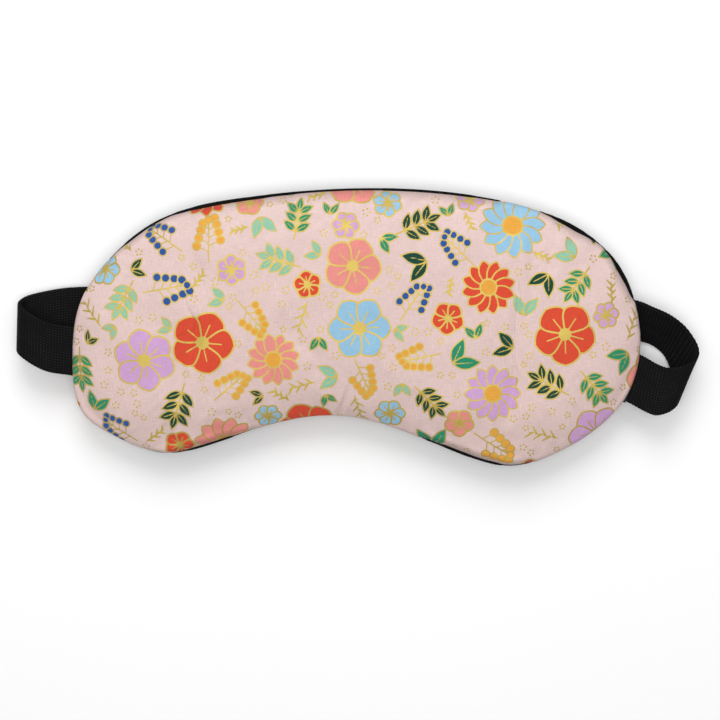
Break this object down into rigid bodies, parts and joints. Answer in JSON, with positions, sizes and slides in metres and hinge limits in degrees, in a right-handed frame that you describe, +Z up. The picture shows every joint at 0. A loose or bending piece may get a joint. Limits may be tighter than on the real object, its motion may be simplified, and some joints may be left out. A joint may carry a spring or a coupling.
{
  "type": "padded sleep mask",
  "caption": "Padded sleep mask with a printed puffy front, dark face side, layered filling and an elastic head strap that folds behind it and opens into a head loop.",
  "frame": {"origin": "middle of the face-side surface, on the plane that rests against the wearer", "axes": "+X to the right of someone looking at the printed front, +Y away from the printed front towards the wearer, +Z up to the forehead"},
  "size_m": [0.2508, 0.0174, 0.1018],
  "materials": {
    "printed_cotton": "fine plain-weave cotton with a multicolour botanical print and gold outlines",
    "black_cloth": "matte black brushed cloth",
    "wadding": "soft white polyester wadding",
    "blackout_cloth": "dense black lining cloth",
    "elastic": "black knitted elastic with fine lengthwise ribs",
    "thread": "black sewing thread"
  },
  "bodies": {
    "mask": {"front_panel": "printed_cotton", "wadding": "wadding", "blackout_lining": "blackout_cloth", "back_panel": "black_cloth", "seam_thread": "thread", "closing_stitches": "thread", "strap_end_left": "elastic", "strap_end_right": "elastic", "strap_tack_left": "thread", "strap_tack_right": "thread"},
    "strap_front_left": {"strap_front_left": "elastic", "strap_fold_left": "elastic"},
    "strap_return_left": {"strap_return_left": "elastic"},
    "strap_back_left": {"strap_back_left": "elastic"},
    "strap_front_right": {"strap_front_right": "elastic", "strap_fold_right": "elastic"},
    "strap_return_right": {"strap_return_right": "elastic"},
    "strap_back_right": {"strap_back_right": "elastic"}
  },
  "joints": [
    {"name": "strap_open", "type": "hinge", "parent": "mask", "child": "strap_front_left", "pos_m": [-0.104, -0.005, -0.0134], "axis": [0, 0, -1], "range_deg": [0, 80], "stiffness_Nm_per_rad": 0.003},
    {"name": "fold_left", "type": "hinge", "parent": "strap_front_left", "child": "strap_return_left", "pos_m": [-0.1189, -0.0034, -0.0057], "axis": [0, 0, 1], "range_deg": [0, 115.56], "deforming": ["strap_fold_left"]},
    {"name": "back_bend_left", "type": "hinge", "parent": "strap_return_left", "child": "strap_back_left", "pos_m": [-0.06, 0.0016, 0.0034], "axis": [0, 0, -1], "range_deg": [0, 35.56]},
    {"name": "seam_bend_right", "type": "hinge", "parent": "mask", "child": "strap_front_right", "pos_m": [0.104, -0.005, -0.0144], "axis": [0, 0, 1], "range_deg": [0, 80]},
    {"name": "fold_right", "type": "hinge", "parent": "strap_front_right", "child": "strap_return_right", "pos_m": [0.1189, -0.0034, -0.0105], "axis": [0, 0, -1], "range_deg": [0, 115.56], "deforming": ["strap_fold_right"]},
    {"name": "back_bend_right", "type": "hinge", "parent": "strap_return_right", "child": "strap_back_right", "pos_m": [0.06, 0.0016, 0.0066], "axis": [0, 0, 1], "range_deg": [0, 35.56]}
  ],
  "couplings": [
    {"joint": "fold_left", "follows": "strap_open", "ratio": 1.4444},
    {"joint": "back_bend_left", "follows": "strap_open", "ratio": 0.4444},
    {"joint": "seam_bend_right", "follows": "strap_open", "ratio": 1},
    {"joint": "fold_right", "follows": "strap_open", "ratio": 1.4444},
    {"joint": "back_bend_right", "follows": "strap_open", "ratio": 0.4444}
  ]
}
